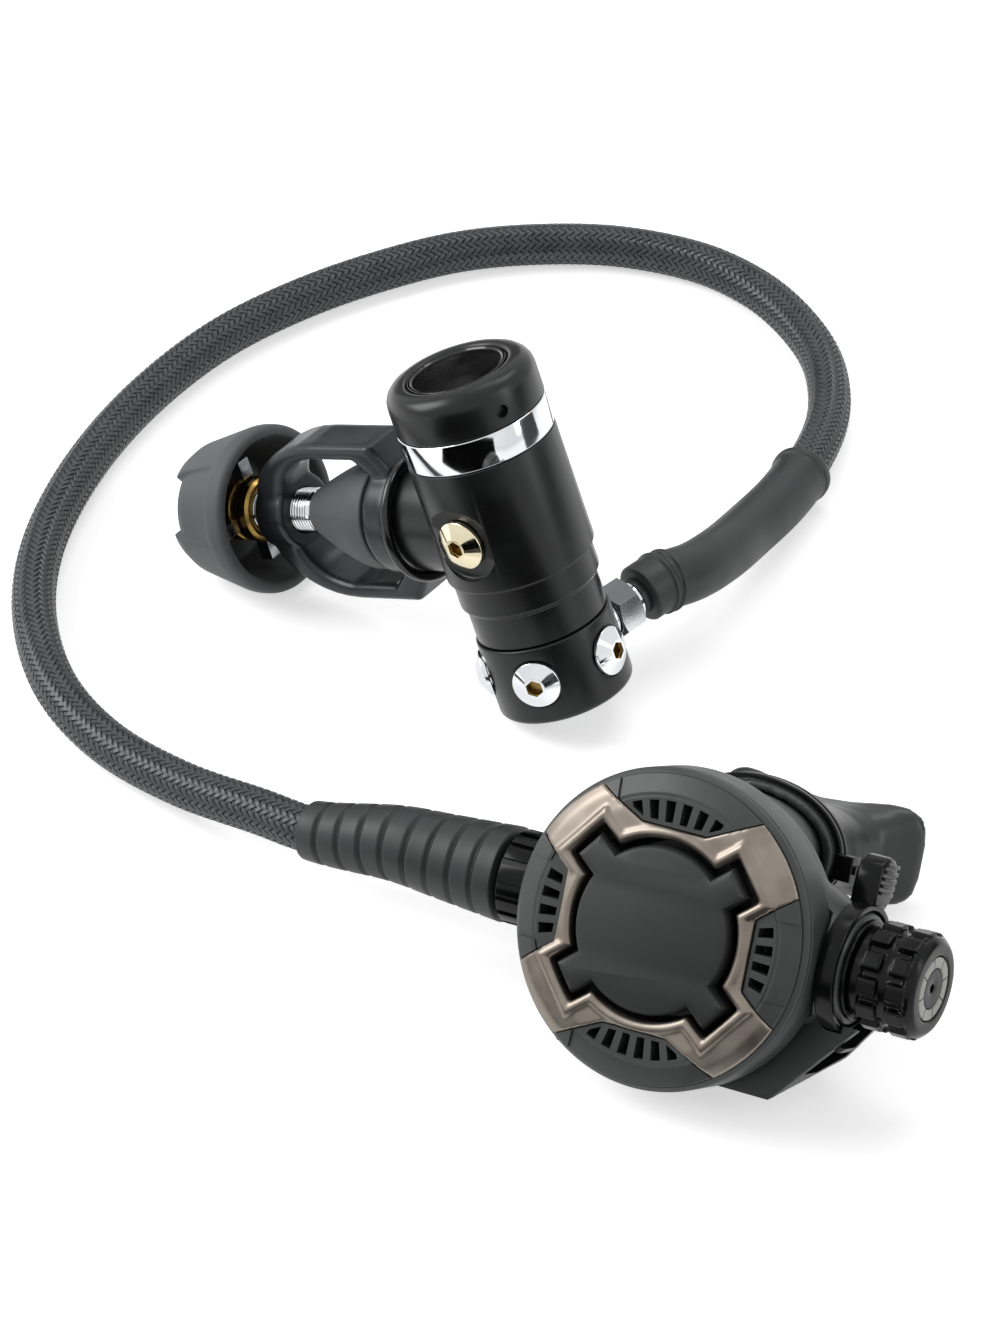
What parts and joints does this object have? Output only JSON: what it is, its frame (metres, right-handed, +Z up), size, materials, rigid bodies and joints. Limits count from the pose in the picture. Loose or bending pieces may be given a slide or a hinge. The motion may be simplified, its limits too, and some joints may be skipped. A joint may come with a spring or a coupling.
{
  "type": "scuba regulator set",
  "caption": "Yoke first stage with a swivel turret, a braided low-pressure hose and a second stage with a purge button, mouthpiece and exhaust cover, lying on a table.",
  "frame": {"origin": "centre of the object's footprint without the hose, on the table", "axes": "+Z up; +X to the right and +Y away from a viewer who faces the second stage's front cover"},
  "size_m": [0.2471, 0.3924, 0.104],
  "materials": {
    "black_anodised": "satin black anodised",
    "chrome": "mirror chrome",
    "warm_chrome": "gold-tinted chrome",
    "brass": "bare brass",
    "spring_steel": "drawn wire",
    "matte_coat": "satin dark grey coat",
    "gloss_black": "gloss black",
    "rubber": "matte black rubber",
    "grey_rubber": "matte charcoal rubber",
    "braid": "braided polyester over rubber",
    "composite": "dark grey moulded composite",
    "dark_composite": "black moulded composite",
    "gunmetal": "satin gunmetal bronze",
    "silicone": "black silicone",
    "seat": "white polymer"
  },
  "bodies": {
    "turret_hose_and_second_stage": {"turret": "black_anodised", "turret_bolt": "spring_steel", "low_pressure_plug_1": "chrome", "low_pressure_plug_2": "chrome", "low_pressure_plug_3": "chrome", "hose_fitting": "chrome", "low_pressure_plug_4": "chrome", "valve_barrel": "chrome", "orifice_seat": "brass", "poppet_spring": "spring_steel", "hose_ferrule": "spring_steel", "cover_ring": "composite", "front_cover": "composite", "cover_trim": "gunmetal", "purge_spring": "spring_steel", "diaphragm": "silicone", "mouthpiece": "silicone", "mouthpiece_tie": "dark_composite", "exhaust_valve": "silicone", "case": "dark_composite", "exhaust_cover": "dark_composite", "hose": "braid", "hose_sleeve": "rubber", "hose_grip": "rubber"},
    "first_stage": {"first_stage_body": "black_anodised", "spring_housing": "chrome", "top_cap": "black_anodised", "cap_disc": "gloss_black", "spring_adjuster": "brass", "main_spring": "spring_steel", "main_diaphragm": "rubber", "high_pressure_seat": "brass", "high_pressure_spring": "spring_steel", "balance_plug": "brass", "high_pressure_plug_1": "warm_chrome", "high_pressure_plug_2": "warm_chrome", "turret_o_ring": "rubber", "yoke": "matte_coat", "yoke_retainer": "chrome", "inlet_filter": "brass", "tether_ring": "gloss_black", "dust_cap": "grey_rubber"},
    "high_pressure_valve": {"valve_lifter": "brass", "spring_pad": "brass", "high_pressure_poppet": "seat"},
    "yoke_screw": {"yoke_screw": "chrome"},
    "yoke_knob": {"yoke_knob": "brass", "knob_cover": "grey_rubber"},
    "purge_button": {"purge_button": "rubber"},
    "diaphragm_plate": {"diaphragm_plate": "chrome"},
    "demand_lever": {"demand_lever": "spring_steel"},
    "poppet": {"poppet": "seat"},
    "adjustment_knob": {"adjustment_knob": "rubber", "knob_end_disc": "spring_steel", "adjustment_shaft": "chrome"},
    "venturi_lever": {"venturi_lever": "dark_composite"},
    "venturi_vane": {"venturi_vane": "seat"},
    "inlet_nut": {"inlet_nut": "dark_composite"}
  },
  "joints": [
    {"name": "turret_swivel", "type": "hinge", "parent": "turret_hose_and_second_stage", "child": "first_stage", "pos_m": [-0.0084, 0.0544, 0.05651], "axis": [-0.3036, 0.219, 0.9273], "continuous": true},
    {"name": "high_pressure_valve_lift", "type": "slide", "parent": "first_stage", "child": "high_pressure_valve", "axis": [0.3036, -0.219, -0.9273], "range_m": [0, 0.0008], "stiffness_N_per_m": 4000, "springref_m": -0.0002, "deforming": ["main_spring", "main_diaphragm", "high_pressure_spring"]},
    {"name": "yoke_screw_travel", "type": "slide", "parent": "first_stage", "child": "yoke_screw", "axis": [-0.7521, 0.5424, -0.3743], "range_m": [0, 0.012]},
    {"name": "yoke_knob_turn", "type": "hinge", "parent": "yoke_screw", "child": "yoke_knob", "pos_m": [-0.07609, 0.10322, 0.02283], "axis": [-0.7521, 0.5424, -0.3743], "range_deg": [0, 2160]},
    {"name": "purge_press", "type": "slide", "parent": "turret_hose_and_second_stage", "child": "purge_button", "axis": [0.4601, 0.7057, -0.5388], "range_m": [0, 0.003], "stiffness_N_per_m": 600, "springref_m": -0.0006, "deforming": ["purge_spring", "diaphragm", "poppet_spring"]},
    {"name": "diaphragm_plate_travel", "type": "slide", "parent": "turret_hose_and_second_stage", "child": "diaphragm_plate", "axis": [0.4601, 0.7057, -0.5388], "range_m": [0, 0.00112]},
    {"name": "demand_lever_tilt", "type": "hinge", "parent": "turret_hose_and_second_stage", "child": "demand_lever", "pos_m": [0.04192, -0.09037, 0.03518], "axis": [0.1915, 0.5137, 0.8364], "range_deg": [0, 5.2]},
    {"name": "poppet_travel", "type": "slide", "parent": "turret_hose_and_second_stage", "child": "poppet", "axis": [0.867, -0.4879, 0.1012], "range_m": [0, 0.00045]},
    {"name": "adjustment_knob_turn", "type": "hinge", "parent": "turret_hose_and_second_stage", "child": "adjustment_knob", "pos_m": [0.08729, -0.11204, 0.03811], "axis": [0.867, -0.4879, 0.1012], "range_deg": [-540, 540]},
    {"name": "venturi_lever_turn", "type": "hinge", "parent": "turret_hose_and_second_stage", "child": "venturi_lever", "pos_m": [0.07688, -0.10618, 0.03689], "axis": [0.867, -0.4879, 0.1012], "range_deg": [-10, 45]},
    {"name": "venturi_vane_turn", "type": "hinge", "parent": "turret_hose_and_second_stage", "child": "venturi_vane", "pos_m": [0.0526, -0.09252, 0.03406], "axis": [0.867, -0.4879, 0.1012], "range_deg": [-10.5, 45.5]},
    {"name": "inlet_nut_turn", "type": "hinge", "parent": "turret_hose_and_second_stage", "child": "inlet_nut", "pos_m": [-0.00028, -0.06276, 0.02789], "axis": [0.867, -0.4879, 0.1012], "continuous": true}
  ],
  "couplings": [
    {"joint": "yoke_knob_turn", "follows": "yoke_screw_travel", "rad_per_m": 3141.6},
    {"joint": "diaphragm_plate_travel", "follows": "purge_press", "ratio": 0.36667},
    {"joint": "demand_lever_tilt", "follows": "purge_press", "rad_per_m": 28.333},
    {"joint": "poppet_travel", "follows": "purge_press", "ratio": 0.13333},
    {"joint": "venturi_vane_turn", "follows": "venturi_lever_turn", "ratio": 1}
  ]
}
